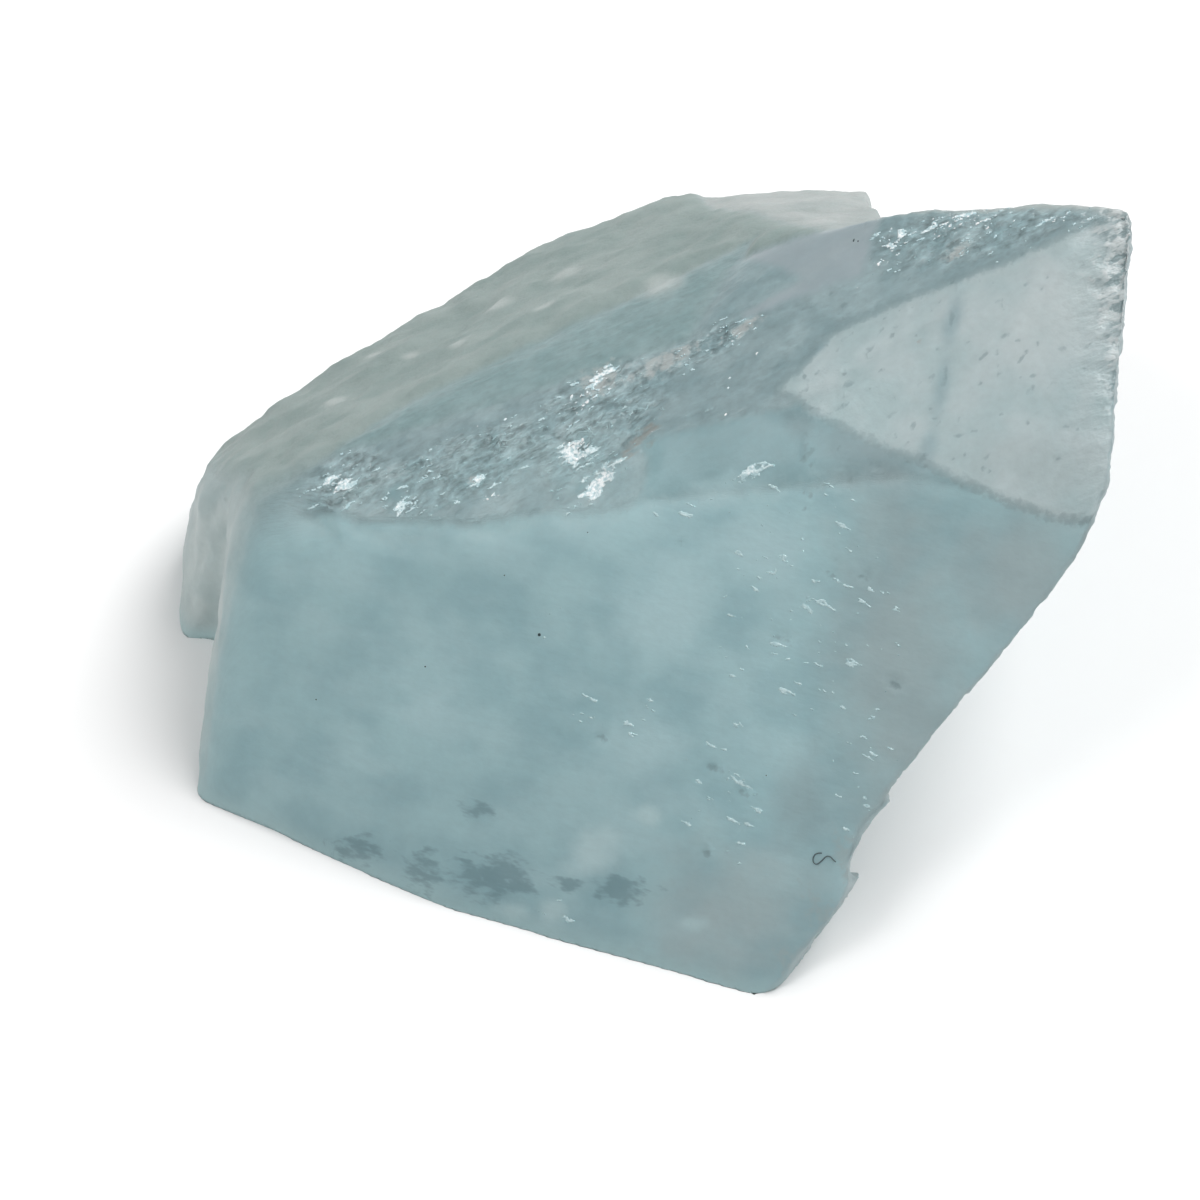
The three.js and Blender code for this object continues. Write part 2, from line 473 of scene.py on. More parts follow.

# %% [markdown]
# ## Marks
#
# Some marks are scattered by a rule and some are this stone's own: flakes that have lifted,
# stains of iron, soft clouds. Those are placed one by one. Each is an oval seen from straight
# above: where it lies, how long and how wide it is, and how far its length is turned from
# +X, in millimetres and degrees. The small pits of the pale face are too many for that, so
# seeded random numbers scatter them. On the mesh a mark is a number that is 1 in its
# middle, 0 at its rim and negative outside, so a material can cut it off as sharply as it
# needs.

# %% Marks
MARKS = {
    "flake": [
        (-1.5, -3.6, 1.9, 0.7, 38),
        (-1.1, -3.5, 1.0, 0.5, 50),
        (-2.4, -2.5, 1.2, 0.8, -10),
        (-1.6, 0.2, 0.9, 0.5, 25),
        (-1.2, 0.5, 1.0, 0.5, 40),
        (-11.1, -1.8, 0.6, 0.9, 60),
        (-11.7, -1.4, 0.5, 0.5, 0),
        (-8.9, -3.1, 0.5, 0.4, 0),
        (-8.4, -3.1, 0.5, 0.25, 20),
        (-6.1, -2.6, 0.6, 0.4, 10),
        (4.1, -4.6, 1.2, 0.3, 20),
        (4.5, -4.5, 0.6, 0.25, 10),
        (9.7, 3.2, 0.7, 0.3, 40),
        (12.0, 3.6, 0.9, 0.3, 10),
        (10.7, 3.3, 0.6, 0.3, 20),
    ],
    "bruise": [
        (11.7, 2.0, 1.2, 0.8, 20),
        (3.9, 0.9, 1.9, 0.7, 20),
        (0.9, 0.3, 3.2, 1.2, 20),
        (-1.4, 0.2, 2.0, 1.8, 30),
        (-6.1, -2.6, 0.6, 0.4, 10),
    ],
    "crumb": [
        (7.9, -15.0, 2.6, 1.0, -50),
        (6.9, -16.2, 2.6, 1.0, -50),
        (5.7, -17.3, 2.2, 0.8, -50),
    ],
    "sparkle": [
        (-1.4, 0.2, 1.8, 1.6, 30),
        (-2.2, -0.7, 1.8, 1.2, 30),
        (-2.4, -2.4, 1.6, 1.2, 0),
        (-1.5, -3.7, 2.2, 0.9, 35),
        (-11.2, -1.8, 1.2, 1.6, 0),
        (-5.4, -3.2, 1.8, 0.5, -10),
        (9.4, 2.9, 2.6, 1.4, 40),
        (12.0, 3.3, 4.6, 1.4, 0),
        (15.8, 2.4, 2.6, 0.7, -5),
    ],
    "splinter": [
        (12.6, 2.9, 9.5, 3.6, 0),
        (-1.6, -1.2, 7.0, 5.2, 30),
        (-6.6, -2.0, 8.5, 3.0, 8),
        (-11.0, -1.6, 4.0, 3.4, 0),
        (2.4, 0.6, 5.0, 1.8, 20),
    ],
    "dashes": [
        (2.6, -5.0, 5.0, 1.0, -8),
        (6.2, -5.8, 4.0, 1.4, -15),
        (-3.1, -14.5, 1.8, 0.7, -14),
        (6.6, -10.2, 3.0, 2.4, 0),
        (4.6, -7.2, 3.6, 1.6, -10),
        (8.6, -10.0, 2.2, 3.4, 0),
        (5.4, -9.0, 2.6, 2.2, -20),
        (7.4, -7.9, 2.8, 2.4, 30),
        (3.6, -8.9, 2.0, 3.0, 0),
        (3.0, -12.6, 3.2, 4.0, 0),
        (1.6, -4.9, 3.0, 1.2, 10),
        (5.6, -6.0, 3.6, 1.6, 0),
        (-3.4, -7.2, 1.4, 1.4, 0),
        (8.4, -13.2, 2.4, 4.0, 20),
        (-1.0, -9.6, 4.0, 1.6, -20),
    ],
    "stain": [
        (0.1, -2.6, 2.8, 0.8, 24),
        (10.2, -1.3, 0.35, 0.35, 0),
    ],
    "cloud": [
        (-7.6, -8.5, 3.6, 1.8, 5),
        (-1.9, -13.3, 2.4, 1.4, 10),
        (-3.4, -14.7, 2.2, 0.9, -15),
        (0.8, -7.4, 6.0, 4.0, 0),
        (4.4, -6.6, 5.6, 2.6, -20),
        (3.0, -5.0, 4.0, 1.6, 0),
        (0.2, -10.6, 5.0, 2.4, -15),
    ],
    "veil": [
        (-1.7, -13.2, 2.6, 1.7, 0),
        (-3.2, -14.4, 2.0, 0.8, -14),
        (0.4, -12.6, 1.8, 0.7, -15),
        (-4.6, -14.2, 2.2, 0.6, -16),
        (2.0, -15.6, 1.8, 0.6, -12),
    ],
    "haze": [
        (9.5, -10.5, 7.0, 15.0, 12),
        (3.5, -15.5, 9.0, 5.0, -8),
        (14.5, -6.0, 8.0, 3.0, -12),
        (13.6, -8.8, 8.0, 5.0, -15),
    ],
    # Painted shade: darker grey patches, two just under the lower edge of the pale face and one low on the
    # large face.
    "painted_shade_patch": [
        (8.2, -4.9, 6.4, 2.6, -28),
        (5.8, -3.4, 2.4, 1.4, -40),
        (5.9, -13.1, 3.0, 3.4, 0),
    ],
    # A lighter patch at the high end of the pale face, partly painted sheen.
    "dusting_and_sheen": [
        (14.8, -0.8, 8.0, 5.0, 20),
    ],
    "shade": [
        (-8.1, -12.6, 1.9, 1.2, -12),
        (-5.5, -13.2, 3.8, 1.3, -14),
        (-4.5, -13.6, 1.6, 0.5, -16),
        (-0.7, -14.3, 2.8, 0.8, -12),
        (-6.1, -11.4, 1.4, 0.6, -14),
        (-10.6, -11.4, 2.4, 0.7, -20),
        (-2.6, -13.9, 1.6, 0.5, -14),
    ],
    "blotch": [
        (0.7, 5.1, 2.6, 2.6, 0),
        (-2.8, 9.5, 2.2, 1.8, 20),
        (-5.4, 8.7, 1.6, 1.4, 0),
        (-8.9, 6.6, 1.0, 0.8, 0),
        (-10.4, 8.0, 1.0, 0.8, 0),
        (-11.8, 4.6, 1.2, 1.0, 0),
        (-6.9, 5.8, 1.4, 0.8, 20),
        (-3.6, 6.4, 1.4, 1.0, 20),
    ],
    # Pits: real hollows in the relief, and their dark tint in the material is painted shade.
    "pit_with_painted_shade": [
        (7.6, -2.4, 0.7, 0.25, 25),
        (7.4, -3.1, 0.6, 0.25, 20),
        (8.4, -1.2, 0.7, 0.2, 40),
        (9.2, -3.6, 0.5, 0.2, 30),
        (9.4, -0.5, 0.5, 0.22, 30),
        (6.6, -1.7, 0.6, 0.2, 30),
        (10.6, -2.6, 0.4, 0.25, 40),
        (13.3, -1.5, 0.5, 0.25, 30),
        (11.6, -4.6, 0.5, 0.22, 0),
        (12.4, -3.0, 0.35, 0.2, 20),
        (14.2, -3.4, 0.35, 0.25, 0),
        # These on the large face sit beside its chips, painted dark as the shaded side of each.
        (3.9, -12.6, 0.6, 0.22, -30),
        (2.8, -11.8, 0.7, 0.25, -20),
        (2.5, -13.9, 0.6, 0.22, -30),
        (5.2, -9.0, 1.0, 0.18, -25),
        (7.0, -7.7, 0.7, 0.18, -30),
        (8.2, -8.0, 0.5, 0.18, -20),
        (-1.4, -10.4, 0.6, 0.22, -20),
        (9.3, -10.8, 0.7, 0.22, -30),
        (1.5, -6.0, 0.5, 0.18, -20),
        (11.4, -0.6, 1.2, 0.26, 75),
        (11.1, -2.6, 1.0, 0.26, 80),
    ],
    "groove": [
        (11.4, -0.8, 3.0, 0.9, 76),
        (11.0, -3.0, 3.4, 0.9, 78),
        (10.5, -4.9, 2.0, 0.9, 70),
        (6.6, -0.7, 1.6, 0.5, 45),
    ],
    "dent": [
        (9.3, -10.7, 0.9, 0.35, -30),
        (3.9, -12.5, 0.7, 0.3, 0),
        (3.9, -13.4, 0.9, 0.3, 0),
        (2.8, -11.7, 0.7, 0.4, 0),
        (2.5, -13.8, 0.9, 0.4, -25),
        (0.0, -9.8, 0.6, 0.5, 0),
        (-1.4, -10.3, 0.7, 0.35, 20),
        (7.0, -7.6, 0.9, 0.3, 60),
        (5.2, -8.9, 1.2, 0.25, -20),
        (8.2, -7.9, 0.5, 0.3, 30),
        (-3.1, -10.0, 0.8, 0.4, -20),
        (-2.2, -9.5, 0.6, 0.4, 0),
        (6.9, -0.6, 1.2, 0.5, 40),
    ],
}


# %% [markdown]
# The scattered pits lie a little closer together towards the left point of the pale face.

# %% Scattered pits
PIT_COUNT = 140
PIT_SEED = 5
PIT_FROM = (6.0, -6.0)
PIT_SPAN = (11.0, 7.6)
PIT_LENGTH = (0.2, 0.42)
PIT_WIDTH = 0.2
CROWDING = 1.4

pit_dice = np.random.default_rng(PIT_SEED)
for _ in range(PIT_COUNT):
    across_face, up_face = pit_dice.uniform(0, 1) ** CROWDING, pit_dice.uniform(0, 1)
    pit_x = PIT_FROM[0] + PIT_SPAN[0] * across_face
    pit_y = PIT_FROM[1] + PIT_SPAN[1] * up_face
    pit_length = pit_dice.uniform(*PIT_LENGTH)
    MARKS["pit_with_painted_shade"].append((pit_x, pit_y, pit_length, PIT_WIDTH, pit_dice.uniform(0, 60)))

# %% Marks on the mesh


def mark_field(places):
    """1 in the middle of the nearest mark, 0 at its rim, and negative outside."""
    field = np.full(len(even), -1.0)
    for x, y, length, width, turn in places:
        cosine, sine = math.cos(math.radians(turn)), math.sin(math.radians(turn))
        dx, dy = even[:, 0] / MM - x, even[:, 1] / MM - y
        lengthwise = (dx * cosine + dy * sine) / (length / 2)
        crosswise = (dy * cosine - dx * sine) / (width / 2)
        field = np.maximum(field, 1 - np.hypot(lengthwise, crosswise))
    return field


off_pale = looks_up & (owner != FINISHES.index("pale"))
for name, places in MARKS.items():
    # The painted shade stays off the pale face, just below whose edge it lies.
    allowed = off_pale if name == "painted_shade_patch" else looks_up
    keep_on_mesh(fine, name, np.where(allowed, mark_field(places), -1.0))
    print(f"{name}: {len(places)} marks")

# %% [markdown]
# ## The pattern of the break
#
# A break across beryl is not flat: it is a patchwork of small scars, each drawn out along
# the way the crack ran. Voronoi cells, squeezed along that way and with their walls bent by
# noise, are such a patchwork. Two trees need the very same cells, for their height and for
# their tint, so one function puts them in any tree.

# %% Break pattern
STREAK_TURN = (0.0, math.radians(-20), math.radians(17))
FACE_TURN = (0.0, 0.0, math.radians(-17))
PATCH_WIDTH = 0.85
PATCH_STRETCH = 0.4
WALL_BEND = 0.5
WALL_BEND_SCALE = 1.6


def to_mm(tree, place):
    """A place in metres, in millimetres."""
    return add(tree, "ShaderNodeVectorMath", {0: place, "Scale": 1 / MM}, operation="SCALE").outputs[0]


def turned_back(tree, place, turn):
    """A place with the direction of the streaks turned onto X."""
    links = {"Vector": place, "Rotation": turn}
    made = add(tree, "ShaderNodeVectorRotate", links, rotation_type="EULER_XYZ", invert=True)
    return made.outputs[0]


def squeezed(tree, place, stretch):
    """A place squeezed along X, so that a pattern on it is drawn out that way."""
    links = {0: place, 1: (stretch, 1.0, 1.0)}
    return add(tree, "ShaderNodeVectorMath", links, operation="MULTIPLY").outputs[0]


def break_scars(tree, place):
    """A random colour for the scar of the break at a place in mm. Each channel is a number."""
    cell_place = squeezed(tree, turned_back(tree, place, STREAK_TURN), PATCH_STRETCH)
    links = {"Vector": cell_place, "Scale": WALL_BEND_SCALE, "Detail": 3.0}
    bend = add(tree, "ShaderNodeTexNoise", links).outputs[1]
    bend = add(tree, "ShaderNodeVectorMath", {0: bend, "Scale": WALL_BEND}, operation="SCALE").outputs[0]
    bent = add(tree, "ShaderNodeVectorMath", {0: cell_place, 1: bend}, operation="ADD").outputs[0]
    scars = add(tree, "ShaderNodeTexVoronoi", {"Vector": bent, "Scale": 1 / PATCH_WIDTH})
    return add(tree, "FunctionNodeSeparateColor", {0: scars.outputs["Color"]}).outputs


# %% [markdown]
# ## Relief
#
# The surface of a rough crystal follows a rule for each finish: long low waves on the old
# faces, small pits on the pale one, steps that run along the break, and lumps on the
# frosted back. A Geometry Nodes tree is the right tool, because each rule is a little
# arithmetic on the position of a point, and its sizes stay as named inputs. They are in
# millimetres, and a height, a depth or a loss is how far the surface moves.

# %% Relief tree
RELIEF_SIZES = {
    "Wave Length": 5.0,
    "Wave Height": 0.14,
    "Pit Spacing": 1.3,
    "Pit Depth": 0.05,
    "Dent Spacing": 2.0,
    "Dent Depth": 0.05,
    "Mark Depth": 0.1,
    "Step Length": 6.0,
    "Step Width": 1.0,
    "Step Height": 0.45,
    "Scar Height": 0.5,
    "Flake Size": 1.2,
    "Flake Depth": 0.12,
    "Lump Size": 3.2,
    "Lump Height": 0.8,
    "Grain Size": 0.7,
    "Grain Height": 0.2,
    "Edge Loss": 0.3,
    "High Edge Loss": 0.8,
}


def sized_tree(name, sizes):
    """A Geometry Nodes tree with named inputs for its sizes, its inputs and its output."""
    tree = bpy.data.node_groups.new(name, "GeometryNodeTree")
    tree.interface.new_socket("Geometry", in_out="INPUT", socket_type="NodeSocketGeometry")
    for size_name, size in sizes.items():
        socket = tree.interface.new_socket(size_name, in_out="INPUT", socket_type="NodeSocketFloat")
        socket.default_value = size
    tree.interface.new_socket("Geometry", in_out="OUTPUT", socket_type="NodeSocketGeometry")
    return tree, add(tree, "NodeGroupInput").outputs, add(tree, "NodeGroupOutput").inputs[0]


relief, SIZE, relief_out = sized_tree("stone relief", RELIEF_SIZES)


def on_mesh(tree, name):
    """A number kept on the points of the mesh."""
    return add(tree, "GeometryNodeInputNamedAttribute", {"Name": name}).outputs["Attribute"]


def calculate(tree, how, *values, clamp=False):
    """One step of arithmetic, as a Math node."""
    return add(tree, "ShaderNodeMath", dict(enumerate(values)), operation=how, use_clamp=clamp).outputs[0]


def times(a, b):
    return calculate(relief, "MULTIPLY", a, b)


def plus(a, b):
    return calculate(relief, "ADD", a, b)


def share(name):
    return on_mesh(relief, name)


def per_mm(size):
    return calculate(relief, "DIVIDE", 1.0, size)


in_mm = to_mm(relief, add(relief, "GeometryNodeInputPosition").outputs[0])


def noise(size, where=in_mm, detail=2.0, rough=0.5, seed=0.0):
    """Soft noise from -0.5 to 0.5 whose blobs are about size mm across."""
    made = add(
        relief,
        "ShaderNodeTexNoise",
        {"Vector": where, "W": seed, "Scale": per_mm(size), "Detail": detail, "Roughness": rough},
        noise_dimensions="4D",
    )
    return calculate(relief, "SUBTRACT", made.outputs[0], 0.5)


def bowls(spacing, radius, seed):
    """Scattered shallow bowls: 1 at the middle of a bowl and 0 outside it."""
    links = {"Vector": in_mm, "W": seed, "Scale": per_mm(spacing)}
    cell = add(relief, "ShaderNodeTexVoronoi", links, voronoi_dimensions="4D")
    depth = calculate(relief, "DIVIDE", cell.outputs["Distance"], radius)
    depth = calculate(relief, "SUBTRACT", 1.0, depth, clamp=True)
    pick = add(relief, "FunctionNodeSeparateColor", {0: cell.outputs["Color"]}).outputs[0]
    return times(calculate(relief, "SMOOTH_MIN", depth, 1.0, 0.3), pick)


def above_zero(name):
    return calculate(relief, "MAXIMUM", share(name), 0.0)


# %% [markdown]
# The smooth finishes first. A bowl's radius is a share of the spacing between bowls.

# %% Waves, pits and dents
PIT_RADIUS = 0.28
DENT_RADIUS = 0.2

waves = times(noise(SIZE["Wave Length"]), SIZE["Wave Height"])
pits = times(times(bowls(SIZE["Pit Spacing"], PIT_RADIUS, 1.0), SIZE["Pit Depth"]), share("pale"))
dents = times(times(bowls(SIZE["Dent Spacing"], DENT_RADIUS, 2.0), SIZE["Dent Depth"]), share("satin"))
own_dents = plus(above_zero("dent"), above_zero("pit_with_painted_shade"))
own_dents = times(own_dents, SIZE["Mark Depth"])

# %% [markdown]
# The break steps along its streaks: noise drawn out that way is cut into levels, and each
# scar of the break pattern stands a little higher or lower than its neighbours. Where the
# stone has splintered the steps are at their full height.

# %% Steps of the break
LEVEL_RISE = 0.12
LEVEL_SHARE = 0.75
CALM_SHARE = 0.2
SIDE_SHARE = 0.5
SCARRED_SHARE = 0.7
FLAKE_RADIUS = 0.75

turned = turned_back(relief, in_mm, STREAK_TURN)
stretch = calculate(relief, "DIVIDE", SIZE["Step Width"], SIZE["Step Length"])
squeeze = add(relief, "ShaderNodeCombineXYZ", {0: stretch, 1: 1.0, 2: 1.0}).outputs[0]
streaked = add(relief, "ShaderNodeVectorMath", {0: turned, 1: squeeze}, operation="MULTIPLY").outputs[0]
rough_rise = noise(SIZE["Step Width"], streaked, detail=4.0, rough=0.55, seed=3.0)
stepped = calculate(relief, "SNAP", rough_rise, LEVEL_RISE)
steps = plus(times(stepped, LEVEL_SHARE), times(rough_rise, 1 - LEVEL_SHARE))
scar_level = calculate(relief, "SUBTRACT", break_scars(relief, in_mm)[0], 0.5)
steps = plus(steps, times(scar_level, SIZE["Scar Height"]))
splintered = calculate(relief, "MULTIPLY_ADD", above_zero("splinter"), 1.5, CALM_SHARE)
splintered = calculate(relief, "MINIMUM", splintered, 1.0)
broken_share = plus(times(share("broken"), splintered), times(share("side"), SIDE_SHARE))
broken_share = plus(broken_share, times(share("scarred"), times(splintered, SCARRED_SHARE)))
steps = times(times(steps, SIZE["Step Height"]), broken_share)
flakes = bowls(SIZE["Flake Size"], FLAKE_RADIUS, 4.0)
flakes = times(times(flakes, SIZE["Flake Depth"]), broken_share)

# %% [markdown]
# Frosted faces are lumpy, with grain on the lumps. Edges lose a ragged amount, and the high
# edge is cut into small ridges that stand across it.

# %% Frost and edges
EDGE_CHIP = 1.1
RIDGE_WIDTH = 0.55
RIDGE_STRETCH = 0.35

frost = plus(plus(share("frosted"), share("shoulder")), share("left_end"))
lumps = times(times(noise(SIZE["Lump Size"], seed=5.0), SIZE["Lump Height"]), frost)
grain = times(times(noise(SIZE["Grain Size"], seed=6.0), SIZE["Grain Height"]), frost)

edge_noise = plus(noise(EDGE_CHIP, detail=3.0, seed=7.0), 0.5)
edge_loss = times(calculate(relief, "POWER", share("near_edge"), 1.5), edge_noise)
edge_loss = times(edge_loss, SIZE["Edge Loss"])
across = squeezed(relief, in_mm, RIDGE_STRETCH)
ridges = plus(noise(RIDGE_WIDTH, across, detail=3.0, seed=8.0), 0.5)
high_loss = times(times(share("near_high_edge"), ridges), SIZE["High Edge Loss"])

# %% [markdown]
# All the rules add up to one push along the normal, which is averaged a little first, so
# that neighbouring points don't cross.

# %% Push the points
rise = plus(plus(waves, steps), plus(lumps, grain))
loss = plus(plus(pits, dents), plus(plus(flakes, own_dents), plus(edge_loss, high_loss)))
push = times(calculate(relief, "SUBTRACT", rise, loss), MM)
normal = add(relief, "GeometryNodeInputNormal").outputs[0]
eased_normal = add(
    relief,
    "GeometryNodeBlurAttribute",
    {"Value": normal, "Iterations": 6},
    data_type="FLOAT_VECTOR",
).outputs[0]
offset = add(relief, "ShaderNodeVectorMath", {0: eased_normal, "Scale": push}, operation="SCALE").outputs[0]
moved = add(relief, "GeometryNodeSetPosition", {"Geometry": SIZE["Geometry"], "Offset": offset})
smooth = add(relief, "GeometryNodeSetShadeSmooth", {"Geometry": moved.outputs[0]})
real = add(relief, "GeometryNodeRealizeInstances", {"Geometry": smooth.outputs[0]})
painted = add(relief, "GeometryNodeSetMaterial", {"Geometry": real.outputs[0]})
relief.links.new(painted.outputs[0], relief_out)
print("relief tree:", len(relief.nodes), "nodes")

# %% [markdown]
# ## Broad colour
#
# The faces differ in colour: satin ones are bluish, the pale one is pitted and lighter, partly
# by painted sheen, and the back is frosted and greenish. Each drifts softly between two tints
# over a millimetre or more. That is coarser than the mesh, so a second small tree works it out
# once for each point and keeps it there, which renders much faster than noise in the
# material does. It also keeps how rough each face is and how tall its finest grain.

# %% Colour tree
FINISH_LOOK = {
    # finish: its two tints, the size of their drift in mm, how rough it is (0 to 1), how
    # strongly fine mottling and streaks show, and the height of its finest grain in mm
    "satin": ("#A6CBD2", "#BBDEE3", 2.6, 0.55, 0.10, 0.12, 0.008),
    "bevel": ("#94B7BD", "#A2C3C9", 3.0, 0.45, 0.12, 0.14, 0.010),
    # The pale face is lighter partly by its own frosting and partly as painted sheen.
    "pale": ("#C6DADC", "#D6E4E6", 1.6, 0.42, 0.22, 0.08, 0.022),
    "broken": ("#9CB6BB", "#B2C8CC", 1.3, 0.34, 0.34, 0.50, 0.018),
    "scarred": ("#A2BEC3", "#B0C8CC", 1.1, 0.42, 0.30, 0.45, 0.018),
    "blue_top": ("#9CB9BB", "#A8C2C4", 1.2, 0.40, 0.34, 0.50, 0.018),
    "violet": ("#B8C7CD", "#C0CDD3", 2.0, 0.34, 0.08, 0.08, 0.006),
    "frosted": ("#A4B8B4", "#B6C6C2", 1.5, 0.55, 0.12, 0.02, 0.030),
    "left_end": ("#AEBEBE", "#C0CCCB", 1.6, 0.50, 0.12, 0.02, 0.030),
    "shoulder": ("#C6D0CE", "#D9DFDD", 2.4, 0.55, 0.12, 0.02, 0.030),
    "side": ("#B9CDD1", "#C8D7D9", 1.8, 0.50, 0.16, 0.08, 0.030),
}
SOFT_MARKS = {
    # mark: its tint, how strong it is, and how far noise frays its rim
    "haze": ("#C3CECF", 0.6, 1.0),
    # painted shade, a darker grey-violet tint
    "painted_shade_patch": ("#8C9CA1", 0.5, 0.5),
    # partly painted sheen on the high end of the pale face
    "dusting_and_sheen": ("#EDF3F3", 0.5, 0.6),
    "cloud": ("#CBE9EE", 0.75, 1.4),
    "veil": ("#D8F2F5", 0.8, 1.6),
    "blotch": ("#E2EAE7", 0.8, 1.4),
    "groove": ("#9CBAC1", 0.6, 0.8),
}

COLOUR_SIZES = {"Drift Scale": 1.0}
colours, colour_size, colours_out = sized_tree("stone colours", COLOUR_SIZES)
spot_mm = to_mm(colours, add(colours, "GeometryNodeInputPosition").outputs[0])


def drift(size, seed, detail=3.0, where=spot_mm):
    """Noise from 0 to 1 over the stone, its blobs about size mm across."""
    scale = calculate(colours, "DIVIDE", 1 / size, colour_size["Drift Scale"])
    links = {"Vector": where, "W": seed, "Scale": scale, "Detail": detail, "Roughness": 0.5}
    return add(colours, "ShaderNodeTexNoise", links, noise_dimensions="4D").outputs[0]


def on_points(name):
    return on_mesh(colours, name)


def smooth_range(tree, low, high, value):
    """0 where value is under low, 1 over high, with a smooth change between them."""
    links = {"Value": value, "From Min": low, "From Max": high}
    return add(tree, "ShaderNodeMapRange", links, interpolation_type="SMOOTHSTEP").outputs[0]


def blend(tree, factor, under, over):
    """Mixes two colours. Inputs 0, 6 and 7 of the node are its factor and its colours."""
    return add(tree, "ShaderNodeMix", {0: factor, 6: under, 7: over}, data_type="RGBA").outputs[2]


# %% [markdown]
# Each finish in turn mixes its own tints over the rest and adds its own numbers, weighed by
# how much of that finish a point has.

# %% Tint of each finish
MID_TINT = linear("#A9C4C8")
tint, polish, mottle, streaks, grain_height = MID_TINT, 0.0, 0.0, 0.0, 0.0
for number, (finish, look) in enumerate(FINISH_LOOK.items()):
    low, high, size, rough, mottled, streaky_share, tall = look
    here = on_points(finish)
    patches = smooth_range(colours, 0.35, 0.65, drift(size, number * 3.1))
    tint = blend(colours, here, tint, blend(colours, patches, linear(low), linear(high)))
    polish = calculate(colours, "MULTIPLY_ADD", here, rough, polish)
    mottle = calculate(colours, "MULTIPLY_ADD", here, mottled, mottle)
    streaks = calculate(colours, "MULTIPLY_ADD", here, streaky_share, streaks)
    grain_height = calculate(colours, "MULTIPLY_ADD", here, tall, grain_height)

# %% [markdown]
# Then come the parts that cross finishes: the scars of the break, which are stronger where
# it splintered, pale wisps drawn out along the satin faces, the soft marks, and painted light
# on the thin foot: a lighter tint for the light it lets through.

# %% Tint of the scars, wisps and soft marks
SCAR_TINTS = ("#8AA4AA", "#BCD0D4")
SCAR_STRENGTH = 0.3
WISP_TINT = "#C8E6EB"
WISP_STRENGTH = 0.5
FOOT_GLOW_TINT = "#C8E6E8"
FOOT_GLOW_STRENGTH = 0.7

rough_break = calculate(colours, "ADD", on_points("broken"), on_points("scarred"))
in_splinters = smooth_range(colours, 0.0, 0.5, on_points("splinter"))
in_splinters = calculate(colours, "MULTIPLY", in_splinters, rough_break)
scar_tint = smooth_range(colours, 0.2, 0.9, break_scars(colours, spot_mm)[1])
scar_tint = blend(colours, scar_tint, linear(SCAR_TINTS[0]), linear(SCAR_TINTS[1]))
tint = blend(colours, calculate(colours, "MULTIPLY", rough_break, SCAR_STRENGTH), tint, scar_tint)
streaks = calculate(colours, "MULTIPLY_ADD", in_splinters, 1.3, streaks)
mottle = calculate(colours, "MULTIPLY_ADD", in_splinters, 0.9, mottle)
grain_height = calculate(colours, "MULTIPLY_ADD", in_splinters, 0.03, grain_height)
wisp_place = squeezed(colours, turned_back(colours, spot_mm, FACE_TURN), 0.45)
wisps = smooth_range(colours, 0.42, 0.66, drift(1.3, 50.0, detail=5.0, where=wisp_place))
wisps = calculate(colours, "MULTIPLY", wisps, on_points("satin"))
tint = blend(colours, calculate(colours, "MULTIPLY", wisps, WISP_STRENGTH), tint, linear(WISP_TINT))
wander = calculate(colours, "SUBTRACT", drift(1.1, 40.0), 0.5)
for mark, (mark_tint, strength, frayed) in SOFT_MARKS.items():
    value = calculate(colours, "MULTIPLY_ADD", wander, frayed, on_points(mark))
    covered = calculate(colours, "MULTIPLY", smooth_range(colours, 0.0, 0.9, value), strength)
    tint = blend(colours, covered, tint, linear(mark_tint))
# Painted light: the thin foot is tinted lighter, standing in for the light that comes through it.
painted_foot_glow = smooth_range(colours, 0.1, 0.9, on_points("near_foot"))
tint = blend(colours, calculate(colours, "MULTIPLY", painted_foot_glow, FOOT_GLOW_STRENGTH), tint, linear(FOOT_GLOW_TINT))

# %% [markdown]
# The tree ends by keeping its results on the points, for the material to read. One of them
# is how clear the stone is: half of the light goes through, and less at the cloudy left end.

# %% Keep the results
CLEARNESS = 0.5
LEFT_END_CLOUD = 0.35

clearness = calculate(colours, "MULTIPLY_ADD", on_points("left_end"), -LEFT_END_CLOUD, CLEARNESS)
KEPT = {
    "clearness": (clearness, "FLOAT"),
    "tint": (tint, "FLOAT_COLOR"),
    "polish": (polish, "FLOAT"),
    "mottle": (mottle, "FLOAT"),
    "streaks": (streaks, "FLOAT"),
    "grain_height": (grain_height, "FLOAT"),
    "wander": (wander, "FLOAT"),
}
stone_now = colour_size["Geometry"]
for name, (value, kind) in KEPT.items():
    store = add(
        colours,
        "GeometryNodeStoreNamedAttribute",
        {"Geometry": stone_now, "Name": name, "Value": value},
        data_type=kind,
        domain="POINT",
    )
    stone_now = store.outputs[0]
colours.links.new(stone_now, colours_out)
print("colour tree:", len(colours.nodes), "nodes")

# %% [markdown]
# ## Aquamarine
#
# Aquamarine is beryl coloured by a trace of iron: a clear blue-green stone that bends light
# like dense glass (IOR 1.577). Its colour comes from the depth of stone the light has
# crossed, so part of it belongs in the volume. This piece is milky with fine healed cracks,
# so half of the light is turned back near the surface instead of passing through, and that
# half takes the tint of the face. Only the fine patterns are made here: mottling, streaks
# along the break, and the ragged rims of the stone's own marks. A little noise is added to
# each mark's number before it is cut off, because the rim of a bruise or a stain is ragged.

# %% Aquamarine material
BERYL_IOR = 1.577

aquamarine = bpy.data.materials.new("aquamarine, natural etched faces")
aquamarine.use_nodes = True
stone = aquamarine.node_tree
stone.nodes.clear()
where_mm = to_mm(stone, add(stone, "ShaderNodeTexCoord").outputs["Object"])


def on_stone(name, kind="Fac"):
    return add(stone, "ShaderNodeAttribute", attribute_name=name).outputs[kind]


